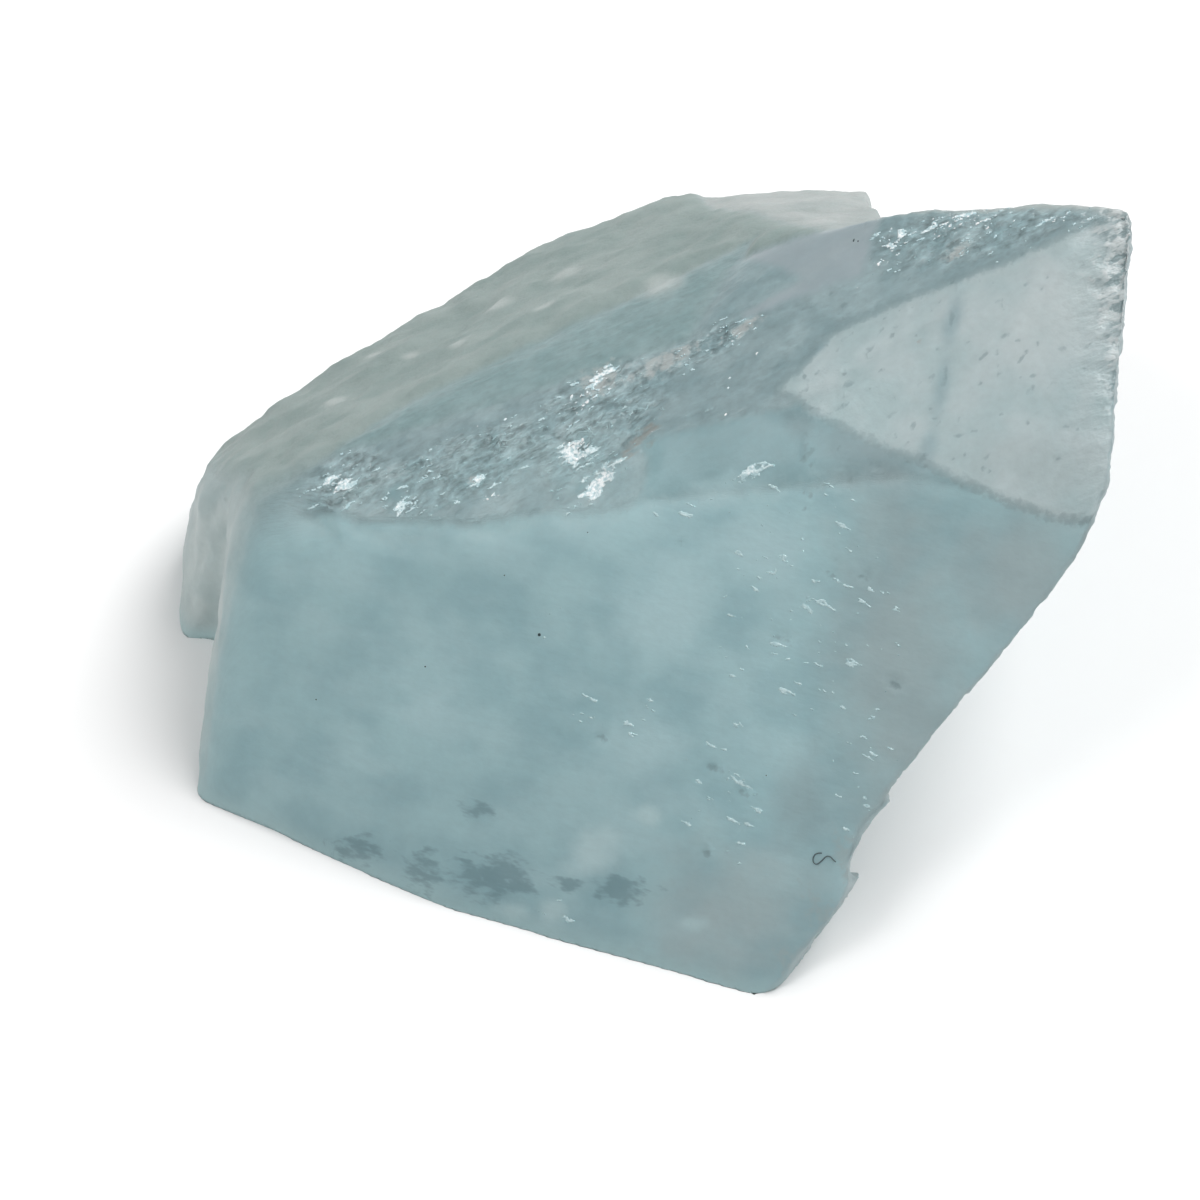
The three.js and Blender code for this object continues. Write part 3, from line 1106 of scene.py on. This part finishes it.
STREAK_STRETCH = 0.4

links = {
    0: on_stone("satin"),
    4: turned_back(stone, where_mm, STREAK_TURN),
    5: turned_back(stone, where_mm, FACE_TURN),
}
either_way = add(stone, "ShaderNodeMix", links, data_type="VECTOR").outputs[1]
streak_place = squeezed(stone, either_way, STREAK_STRETCH)


def amount(how, *values):
    return calculate(stone, how, *values)


def centred_noise(place, size):
    links = {"Vector": place, "Scale": 1 / size, "Detail": 2.0, "Roughness": 0.6}
    return amount("SUBTRACT", add(stone, "ShaderNodeTexNoise", links).outputs[0], 0.5)


MOTTLE_SIZE = 0.32
STREAK_WIDTH = 0.26
ragged = centred_noise(where_mm, MOTTLE_SIZE)
streaky = centred_noise(streak_place, STREAK_WIDTH)
shreds = amount("MULTIPLY_ADD", on_stone("wander"), 0.6, streaky)

FINE_MARKS = {
    # mark: its tint, how strong it is, how soft its rim is, its fray and the fray's amount
    "shade": ("#6A8D97", 0.6, 0.7, shreds, 2.2),
    "bruise": ("#DCDEDC", 0.75, 0.9, ragged, 2.6),
    "crumb": ("#BACACB", 0.6, 0.9, ragged, 2.6),
    "stain": ("#A58B7B", 0.5, 1.0, streaky, 3.4),
    # The dark tint of the pits is painted shade.
    "pit_with_painted_shade": ("#7F999E", 0.5, 0.7, ragged, 2.0),
}
colour = on_stone("tint", "Color")
mottled = amount("MULTIPLY", ragged, on_stone("mottle"))
streaked = amount("MULTIPLY", streaky, on_stone("streaks"))
shift = amount("ADD", amount("ADD", mottled, streaked), 1.0)
colour = add(stone, "ShaderNodeVectorMath", {0: colour, "Scale": shift}, operation="SCALE").outputs[0]
for mark, (mark_tint, strength, rim, fray, frayed) in FINE_MARKS.items():
    value = amount("MULTIPLY_ADD", fray, frayed, on_stone(mark))
    covered = amount("MULTIPLY", smooth_range(stone, 0.0, rim, value), strength)
    colour = blend(stone, covered, colour, linear(mark_tint))

# %% [markdown]
# Edges have their own wear: rubbed edges are whitish, and the rim of the pale face has a dark
# crumbled fringe. The high end is splintered, and its pieces are painted light and dark, as
# highlight and shade.

# %% Edge wear in the material, and painted highlight and shade at the high end
rubbed = smooth_range(stone, 0.45, 1.1, amount("MULTIPLY_ADD", ragged, 1.6, on_stone("near_edge")))
colour = blend(stone, amount("MULTIPLY", rubbed, 0.12), colour, linear("#D5DDDC"))
fringe = smooth_range(stone, 0.55, 0.9, amount("MULTIPLY_ADD", ragged, 1.2, on_stone("near_pale_edge")))
colour = blend(stone, amount("MULTIPLY", fringe, 0.45), colour, linear("#8AA0A4"))
# At the high end the light and dark pieces of colour are painted highlight and shade on the splintered
# edge.
crumbled = smooth_range(stone, 0.4, 0.85, amount("MULTIPLY_ADD", ragged, 1.2, on_stone("near_high_edge")))
sliver_highlight_and_shade = blend(stone, smooth_range(stone, -0.08, 0.08, streaky), linear("#869CA0"), linear("#F2F6F6"))
colour = blend(stone, amount("MULTIPLY", crumbled, 0.7), colour, sliver_highlight_and_shade)

# %% [markdown]
# The finest relief is too small for the mesh, so it is a bump. Heights are in millimetres,
# so they stay true to the stone.

# %% Bump, and the finished material
STREAK_HEIGHT = 0.08
CRUMB_HEIGHT = 0.12
ABSORBED_TO = (0.0, 0.5, 0.55, 1.0)
ABSORBED_PER_METRE = 13.0

streak_height = amount("MULTIPLY", on_stone("streaks"), STREAK_HEIGHT)
streak_height = amount("MULTIPLY_ADD", on_stone("near_high_edge"), CRUMB_HEIGHT, streak_height)
height = amount("MULTIPLY", ragged, on_stone("grain_height"))
height = amount("MULTIPLY_ADD", streaky, streak_height, height)
bump = add(stone, "ShaderNodeBump", {"Height": height, "Distance": MM, "Strength": 1.0})
roughness = amount("MULTIPLY_ADD", ragged, 0.2, on_stone("polish"))

surface = add(
    stone,
    "ShaderNodeBsdfPrincipled",
    {
        "Base Color": colour,
        "Roughness": roughness,
        "IOR": BERYL_IOR,
        "Transmission Weight": on_stone("clearness"),
        "Normal": bump.outputs[0],
    },
)
depth_colour = add(
    stone,
    "ShaderNodeVolumeAbsorption",
    {"Color": ABSORBED_TO, "Density": ABSORBED_PER_METRE},
)
output = add(stone, "ShaderNodeOutputMaterial", {"Surface": surface.outputs[0]})
stone.links.new(depth_colour.outputs[0], output.inputs["Volume"])
print("aquamarine:", len(stone.nodes), "nodes")

# %% [markdown]
# ## Run the trees on the stone
#
# Each tree runs as a modifier, and its result is kept as a plain mesh. The relief has moved
# the underside as well, so its points go back down onto the table. Those of the foot drop a
# little more and stop at the table too, which gives a thin clean edge all round.

# %% Relief on the stone
FOOT_DROP = 0.22 * MM
BASE_FROM = 0.15
BASE_FADE = 0.45
UNDERSIDE = -0.9


def run_tree(piece, tree, sizes):
    """Puts a tree on a piece as a modifier, with its named inputs set."""
    modifier = piece.modifiers.new(tree.name, "NODES")
    modifier.node_group = tree
    for item in tree.interface.items_tree:
        if item.in_out == "INPUT" and item.name in sizes:
            modifier[item.identifier] = sizes[item.name]


painted.inputs["Material"].default_value = aquamarine
run_tree(crystal, colours, COLOUR_SIZES)
run_tree(crystal, relief, RELIEF_SIZES)
carved = evaluated_copy(crystal, "crystal")
crystal.modifiers.clear()
crystal.data = carved
points = points_of(carved)
on_base = softened((owner == FINISHES.index("base")).astype(float), 5)
flattened = np.clip((on_base - BASE_FROM) / BASE_FADE, 0, 1)
points[:, 2] += (CAD_LOW.z - points[:, 2]) * flattened
points[:, 2] -= FOOT_DROP * np.clip(near["near_foot"] * 1.5, 0, 1)
points[:, 2] = np.maximum(points[:, 2], CAD_LOW.z)
carved.vertices.foreach_set("co", points.ravel())
carved.update()
face_normals = np.empty(len(carved.polygons) * 3)
carved.polygons.foreach_get("normal", face_normals)
carved.polygons.foreach_set("use_smooth", face_normals.reshape(-1, 3)[:, 2] > UNDERSIDE)
print("carved, in mm:", np.round((points.max(0) - points.min(0)) / MM, 2))

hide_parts(NODE)
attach(crystal, "root")

# %% [markdown]
# ## Lifted skins
#
# Where the stone broke, thin skins of it have lifted but not fallen. Air has got under
# them, so they shine white, as a crack in ice does. They follow the surface, so the surest
# way to make them is from the surface itself: take the parts of the stone near such a mark,
# cut them finer, keep only what lies inside a mark whose rim is torn by streaky noise, and
# give what is left a thickness. A Geometry Nodes tree does all but the last step. The
# largest flakes and those where the stone sparkles are white, and the rest are dull. Their
# white is partly the air under them and partly painted glints.

# %% Flake material
FLAKE_PATCH = 0.125 * MM
FLAKE_BUMP = 0.02 * MM

air_and_glint_flake = bpy.data.materials.new("aquamarine, lifted flakes with air under them")
air_and_glint_flake.use_nodes = True
flake_tree = air_and_glint_flake.node_tree
flake_tree.nodes.clear()
flake_where = add(flake_tree, "ShaderNodeTexCoord").outputs["Object"]
links = {"Vector": flake_where, "Scale": 1 / FLAKE_PATCH, "Detail": 2.0}
flake_noise = add(flake_tree, "ShaderNodeTexNoise", links)
flake_patch = smooth_range(flake_tree, 0.35, 0.65, flake_noise.outputs[0])
# The white is partly the air under a flake and partly painted glints.
flake_white = add(flake_tree, "ShaderNodeAttribute", attribute_name="glint_whiteness").outputs["Fac"]
flake_dull = blend(flake_tree, flake_patch, linear("#A9C6CB"), linear("#C3DADD"))
flake_bright_glint = blend(flake_tree, flake_patch, linear("#B4CDD2"), linear("#FFFFFF"))
flake_colour = blend(flake_tree, flake_white, flake_dull, flake_bright_glint)
links = {"Height": flake_noise.outputs[0], "Distance": FLAKE_BUMP}
flake_bump = add(flake_tree, "ShaderNodeBump", links)
flake_surface = add(
    flake_tree,
    "ShaderNodeBsdfPrincipled",
    {
        "Base Color": flake_colour,
        "Roughness": calculate(flake_tree, "MULTIPLY_ADD", flake_patch, 0.2, 0.12),
        "IOR": BERYL_IOR,
        "Normal": flake_bump.outputs[0],
    },
)
add(flake_tree, "ShaderNodeOutputMaterial", {"Surface": flake_surface.outputs[0]})

# %% Skin tree
SKIN_SIZES = {
    "Tear Length": 0.45,
    "Tear Width": 0.15,
    "Lift": 0.015,
}
SKIN_THICKNESS = 0.03 * MM
FLAKE_MARGIN = 0.6

skins, skin_size, skins_out = sized_tree("lifted skins", SKIN_SIZES)


def of_skins(how, *values):
    return calculate(skins, how, *values)


def kept_share(name):
    return on_mesh(skins, name)


def without(geometry, unwanted):
    links = {"Geometry": geometry, "Selection": unwanted}
    return add(skins, "GeometryNodeDeleteGeometry", links, domain="FACE").outputs[0]


splinters = of_skins("ADD", kept_share("broken"), kept_share("scarred"))
splinters = of_skins("MULTIPLY", kept_share("splinter"), splinters)
splinters = of_skins("SUBTRACT", splinters, 0.02)
far_from_all = of_skins("MAXIMUM", of_skins("ADD", kept_share("flake"), FLAKE_MARGIN), splinters)
far_from_all = of_skins("MAXIMUM", far_from_all, kept_share("dashes"))
near_marks = without(skin_size["Geometry"], of_skins("LESS_THAN", far_from_all, 0.0))
finer = add(skins, "GeometryNodeSubdivideMesh", {"Mesh": near_marks, "Level": 2}).outputs[0]
skin_mm = to_mm(skins, add(skins, "GeometryNodeInputPosition").outputs[0])

# %% [markdown]
# The rims are torn by noise drawn out along the break, or down the large face for the small
# dashes on it. A skin is left where that noise, added to the mark's number, is above zero.

# %% Torn rims
DASH_TURN = (0.0, 0.0, math.radians(-32))
DASH_LARGER = 1.6
FLAKE_TEAR = 4.2
FLAKE_CUT = 0.1
SPLINTER_CUT = 0.155
SPARKLE_HELP = 0.08
DASH_CUT = 0.15


def torn(turn, seed, larger=1.0):
    """Noise drawn out along one direction, from -0.5 to 0.5."""
    turned_place = turned_back(skins, skin_mm, turn)
    drawn_out = of_skins("DIVIDE", skin_size["Tear Width"], skin_size["Tear Length"])
    stretch_by = add(skins, "ShaderNodeCombineXYZ", {0: drawn_out, 1: 1.0, 2: 1.0}).outputs[0]
    torn_place = add(skins, "ShaderNodeVectorMath", {0: turned_place, 1: stretch_by}, operation="MULTIPLY")
    links = {
        "Vector": torn_place.outputs[0],
        "W": seed,
        "Scale": of_skins("DIVIDE", 1.0 / larger, skin_size["Tear Width"]),
        "Detail": 2.0,
        "Roughness": 0.55,
    }
    made = add(skins, "ShaderNodeTexNoise", links, noise_dimensions="4D")
    return of_skins("SUBTRACT", made.outputs[0], 0.5)


along_break = torn(STREAK_TURN, 1.0)
down_face = torn(DASH_TURN, 2.0, larger=DASH_LARGER)
in_sparkle = of_skins("MAXIMUM", kept_share("sparkle"), 0.0)
inside_flake = of_skins("SUBTRACT", kept_share("flake"), FLAKE_CUT)
inside_flake = of_skins("MULTIPLY_ADD", along_break, FLAKE_TEAR, inside_flake)
inside_splinter = of_skins("SUBTRACT", along_break, SPLINTER_CUT)
inside_splinter = of_skins("MULTIPLY_ADD", in_sparkle, SPARKLE_HELP, inside_splinter)
inside_splinter = of_skins("MINIMUM", inside_splinter, splinters)
inside_dash = of_skins("SUBTRACT", down_face, DASH_CUT)
inside_dash = of_skins("MINIMUM", inside_dash, kept_share("dashes"))
inside_any = of_skins("MAXIMUM", inside_flake, of_skins("MAXIMUM", inside_splinter, inside_dash))
left = without(finer, of_skins("LESS_THAN", inside_any, 0.0))

# %% White and lifted
glint_whiteness = smooth_range(skins, 0.0, 1.2, inside_flake)
in_sparkle = of_skins("MULTIPLY", smooth_range(skins, 0.0, 0.7, in_sparkle), 0.7)
glint_whiteness = of_skins("MAXIMUM", glint_whiteness, in_sparkle)
whitened = add(
    skins,
    "GeometryNodeStoreNamedAttribute",
    {"Geometry": left, "Name": "glint_whiteness", "Value": glint_whiteness},
    data_type="FLOAT",
    domain="POINT",
).outputs[0]
skin_normal = add(skins, "GeometryNodeInputNormal").outputs[0]
raised_by = of_skins("MULTIPLY", skin_size["Lift"], MM)
raised_by = add(skins, "ShaderNodeVectorMath", {0: skin_normal, "Scale": raised_by}, operation="SCALE")
raised = add(skins, "GeometryNodeSetPosition", {"Geometry": whitened, "Offset": raised_by.outputs[0]})
real_skins = add(skins, "GeometryNodeRealizeInstances", {"Geometry": raised.outputs[0]})
painted_skins = add(
    skins,
    "GeometryNodeSetMaterial",
    {"Geometry": real_skins.outputs[0], "Material": air_and_glint_flake},
)
skins.links.new(painted_skins.outputs[0], skins_out)
print("skin tree:", len(skins.nodes), "nodes")

# %% Skins
skin_piece = bpy.data.objects.new("lifted_skins", carved.copy())
bpy.context.collection.objects.link(skin_piece)
run_tree(skin_piece, skins, SKIN_SIZES)
skin_piece.modifiers.new("thickness", "SOLIDIFY").thickness = SKIN_THICKNESS
skin_mesh = evaluated_copy(skin_piece, "lifted_skins")
skin_piece.modifiers.clear()
skin_piece.data = skin_mesh
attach(skin_piece, "root")
print("lifted skins:", triangles(skin_mesh), "triangles")

# %% [markdown]
# ## Bright grains
#
# The finest flakes are loose grains, thickest where the break ended. Geometry Nodes scatter
# them: points on the stone, dense where the sparkle mark is above zero and sparse on the
# rest of the break, and on each a small flat sliver, turned roughly along the break and
# tipped a little so that each catches the light in its own way.

# %% Grain tree
FLAKE_SIZES = {
    "Per Square Metre": 22.0e6,
    "Smallest": 0.02 * MM,
    "Largest": 0.13 * MM,
}
FLAKE_SEED = 11
BREAK_BEARING = math.radians(24)
BREAK_CLIMB = 0.35
ELSEWHERE_SHARE = 0.02
SMALL_ONES = 3.0
FLAT = 0.16

scatter, flake_input, scatter_out = sized_tree("lifted flakes", FLAKE_SIZES)
thick = smooth_range(scatter, 0.0, 0.8, on_mesh(scatter, "sparkle"))
thick = calculate(scatter, "MULTIPLY_ADD", on_mesh(scatter, "broken"), ELSEWHERE_SHARE, thick)
density = calculate(scatter, "MULTIPLY", thick, flake_input["Per Square Metre"])
seeds = add(
    scatter,
    "GeometryNodeDistributePointsOnFaces",
    {"Mesh": flake_input["Geometry"], "Density": density, "Seed": FLAKE_SEED},
)


def chance(low, high, seed):
    """A random number for each flake."""
    made = add(scatter, "FunctionNodeRandomValue", {"Seed": seed}, data_type="FLOAT")
    made.inputs[2].default_value = low
    made.inputs[3].default_value = high
    return made.outputs[1]


size_share = calculate(scatter, "POWER", chance(0.0, 1.0, 1), SMALL_ONES)
size_span = calculate(scatter, "SUBTRACT", flake_input["Largest"], flake_input["Smallest"])
flake_size = calculate(scatter, "MULTIPLY_ADD", size_share, size_span, flake_input["Smallest"])
flake_scale = add(
    scatter,
    "ShaderNodeCombineXYZ",
    {
        0: flake_size,
        1: calculate(scatter, "MULTIPLY", flake_size, chance(0.25, 0.7, 2)),
        2: calculate(scatter, "MULTIPLY", flake_size, FLAT),
    },
).outputs[0]
own_turn = add(
    scatter,
    "ShaderNodeCombineXYZ",
    {0: chance(-0.5, 0.5, 3), 1: chance(-0.5, 0.5, 4), 2: chance(-0.6, 0.6, 5)},
).outputs[0]
lengthwise_turn = add(
    scatter,
    "FunctionNodeAlignRotationToVector",
    {"Vector": (math.cos(BREAK_BEARING), math.sin(BREAK_BEARING), BREAK_CLIMB)},
    axis="X",
).outputs[0]
flat_on_face = add(
    scatter,
    "FunctionNodeAlignRotationToVector",
    {"Rotation": lengthwise_turn, "Vector": seeds.outputs["Normal"]},
    axis="Z",
    pivot_axis="X",
).outputs[0]
turned_flake = add(
    scatter,
    "FunctionNodeRotateRotation",
    {"Rotation": flat_on_face, "Rotate By": own_turn},
    rotation_space="LOCAL",
).outputs[0]
sliver = add(scatter, "GeometryNodeMeshIcoSphere", {"Radius": 1.0, "Subdivisions": 1}).outputs[0]
placed_flakes = add(
    scatter,
    "GeometryNodeInstanceOnPoints",
    {"Points": seeds.outputs["Points"], "Instance": sliver, "Rotation": turned_flake, "Scale": flake_scale},
)
real_flakes = add(scatter, "GeometryNodeRealizeInstances", {"Geometry": placed_flakes.outputs[0]})
# Every grain is painted fully white, which stands in for the glint it catches.
white_flakes = add(
    scatter,
    "GeometryNodeStoreNamedAttribute",
    {"Geometry": real_flakes.outputs[0], "Name": "glint_whiteness", "Value": 1.0},
    data_type="FLOAT",
    domain="POINT",
)
painted_flakes = add(
    scatter,
    "GeometryNodeSetMaterial",
    {"Geometry": white_flakes.outputs[0], "Material": air_and_glint_flake},
)
scatter.links.new(painted_flakes.outputs[0], scatter_out)
print("grain tree:", len(scatter.nodes), "nodes")

# %% Bright flakes
flake_piece = bpy.data.objects.new("lifted_glint_flakes", carved.copy())
bpy.context.collection.objects.link(flake_piece)
run_tree(flake_piece, scatter, FLAKE_SIZES)
flake_mesh = evaluated_copy(flake_piece, "lifted_glint_flakes")
flake_piece.modifiers.clear()
flake_piece.data = flake_mesh
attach(flake_piece, "root")
print("lifted flakes:", triangles(flake_mesh), "triangles, 20 to a flake")

# %% [markdown]
# ## Lint and dirt
#
# A hair-fine lint fibre clings to the lower right of the large face, and a few specks of
# dark dirt lie on the stone. The fibre is a round curve through given points, turned
# into a mesh. Each speck is a little lump pushed out of round by seeded random numbers. Both
# are dropped onto the finished surface from above, so they touch it wherever it lies.

# %% Where lint and dirt lie, and what they are
FIBRE_THICKNESS = 0.045 * MM
FIBRE_ROUTE = [
    (6.75, -14.56),
    (6.55, -14.52),
    (6.42, -14.62),
    (6.44, -14.76),
    (6.58, -14.82),
    (6.74, -14.76),
    (6.90, -14.66),
    (7.05, -14.68),
    (7.16, -14.78),
    (7.26, -14.84),
]
SPECKS = [
    # where each speck lies from above, and how long, wide and tall it is, in mm
    (-3.7, -7.4, 0.13, 0.12, 0.10),
    (-8.0, -7.5, 0.07, 0.06, 0.04),
    (-12.2, -7.4, 0.07, 0.05, 0.04),
    (-5.0, -5.7, 0.05, 0.05, 0.04),
    (-1.9, -5.1, 0.05, 0.04, 0.03),
    (4.7, -12.3, 0.05, 0.05, 0.04),
    (8.0, 3.7, 0.16, 0.07, 0.04),
    (8.15, 3.55, 0.08, 0.06, 0.04),
]
finished_surface = BVHTree.FromPolygons(
    [v.co for v in carved.vertices], [tuple(face.vertices) for face in carved.polygons]
)


def landing(x, y):
    """The point of the finished stone right under a place in plan, in mm, and its normal."""
    landed = finished_surface.ray_cast(Vector((x * MM, y * MM, 1)), DOWN)
    return landed[0], landed[1]


DUST_PATCH = 0.05 * MM
DUST_BUMP = 0.01 * MM
DUST_ROUGHNESS = 0.7


def dust_material(name, dark, light):
    """Dull matter whose colour changes every few hundredths of a millimetre."""
    made = bpy.data.materials.new(name)
    made.use_nodes = True
    tree = made.node_tree
    shader = tree.nodes["Principled BSDF"]
    place = add(tree, "ShaderNodeTexCoord").outputs["Object"]
    speckle = add(tree, "ShaderNodeTexNoise", {"Vector": place, "Scale": 1 / DUST_PATCH}).outputs[0]
    tree.links.new(blend(tree, speckle, linear(dark), linear(light)), shader.inputs["Base Color"])
    lump = add(tree, "ShaderNodeBump", {"Height": speckle, "Distance": DUST_BUMP})
    tree.links.new(lump.outputs[0], shader.inputs["Normal"])
    rough = calculate(tree, "MULTIPLY_ADD", speckle, 0.2, DUST_ROUGHNESS)
    tree.links.new(rough, shader.inputs["Roughness"])
    return made


# %% Lint fibre
route = bpy.data.curves.new("fibre route", "CURVE")
route.dimensions = "3D"
route.bevel_depth = FIBRE_THICKNESS / 2
route.bevel_resolution = 2
route.use_fill_caps = True
strand = route.splines.new("NURBS")
strand.points.add(len(FIBRE_ROUTE) - 1)
for point, (x, y) in zip(strand.points, FIBRE_ROUTE):
    landed, normal_there = landing(x, y)
    point.co = (*(landed + normal_there * FIBRE_THICKNESS * 0.6), 1)
strand.use_endpoint_u = True
strand.order_u = 3
strand.resolution_u = 6
fibre_curve = bpy.data.objects.new("fibre route", route)
bpy.context.collection.objects.link(fibre_curve)
fibre = bpy.data.objects.new("lint_fibre", evaluated_copy(fibre_curve, "lint_fibre"))
bpy.data.objects.remove(fibre_curve)
bpy.context.collection.objects.link(fibre)
fibre.data.materials.append(dust_material("cotton lint, grey", "#3E4C50", "#5F6E72"))
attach(fibre, "root")
print("lint:", triangles(fibre.data), "triangles")

# %% Dirt specks
SPECK_SEED = 4

rng = np.random.default_rng(SPECK_SEED)
dirt = bmesh.new()
for x, y, length, width, height_there in SPECKS:
    landed, normal_there = landing(x, y)
    upright = normal_there.to_track_quat("Z", "Y").to_matrix().to_4x4()
    lump_made = bmesh.ops.create_icosphere(dirt, subdivisions=2, radius=0.5)
    for v in lump_made["verts"]:
        v.co *= rng.uniform(0.8, 1.15)
        v.co = Vector((v.co.x * length, v.co.y * width, v.co.z * height_there)) * MM
    placed_at = Matrix.Translation(landed) @ upright
    bmesh.ops.transform(dirt, matrix=placed_at, verts=lump_made["verts"])
dirt_mesh = bpy.data.meshes.new("dirt_specks")
dirt.to_mesh(dirt_mesh)
dirt_mesh.materials.append(dust_material("mineral dirt, dull", "#1E2A2E", "#46565A"))
specks = bpy.data.objects.new("dirt_specks", dirt_mesh)
bpy.context.collection.objects.link(specks)
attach(specks, "root")
print("dirt:", triangles(dirt_mesh), "triangles")

# %% [markdown]
# ## Table and light
#
# The stone lies on a plain white table in soft daylight. The brightest light stands high
# at the back right, so the shadow falls to the front left. A smaller one stands at the
# front left, where the faces that look that way mirror it. The table lies a hair below the
# stone, so that the two surfaces never fight.

# %% Table
TABLE_SIZE = 3.0
TABLE_DROP = 0.003 * MM

bpy.ops.mesh.primitive_plane_add(size=TABLE_SIZE, location=(0, 0, -TABLE_DROP))
table = bpy.context.object
table.name = "table"
table.data.name = "table"
paper = bpy.data.materials.new("white card")
paper.use_nodes = True
paper.node_tree.nodes["Principled BSDF"].inputs["Base Color"].default_value = linear("#F4F4F4")
paper.node_tree.nodes["Principled BSDF"].inputs["Roughness"].default_value = 0.9
table.data.materials.append(paper)
table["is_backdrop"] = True

# %% Light
DAYLIGHT = 0.43
LIGHT_AWAY = 0.9

world = bpy.data.worlds.new("daylight")
world.use_nodes = True
world.node_tree.nodes["Background"].inputs[0].default_value = linear("#FFFFFF")
world.node_tree.nodes["Background"].inputs[1].default_value = DAYLIGHT
bpy.context.scene.world = world


def soft_light(name, bearing, height, power, size):
    """A round softbox facing the stone. Bearing and height in degrees, power in watts."""
    lamp = bpy.data.lights.new(name, "AREA")
    lamp.shape = "DISK"
    lamp.size = size
    lamp.energy = power
    placed = bpy.data.objects.new(name, lamp)
    bpy.context.collection.objects.link(placed)
    toward = direction(bearing, 90 - height)
    placed.location = toward * LIGHT_AWAY
    placed.rotation_euler = toward.to_track_quat("Z", "Y").to_euler()


soft_light("back right softbox", 35, 55, 7.0, 0.6)
soft_light("front left softbox", -146, 56, 1.7, 0.3)

scene = bpy.context.scene
scene.view_settings.view_transform = "Standard"
scene.view_settings.look = "None"

# %% [markdown]
# ## Measure
#
# Last, the size of the finished stone is printed, to set beside that of the solid printed at the start.

# %% Measure and finish
low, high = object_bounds()
print("visual, in mm:", [round(v / MM, 2) for v in high - low])
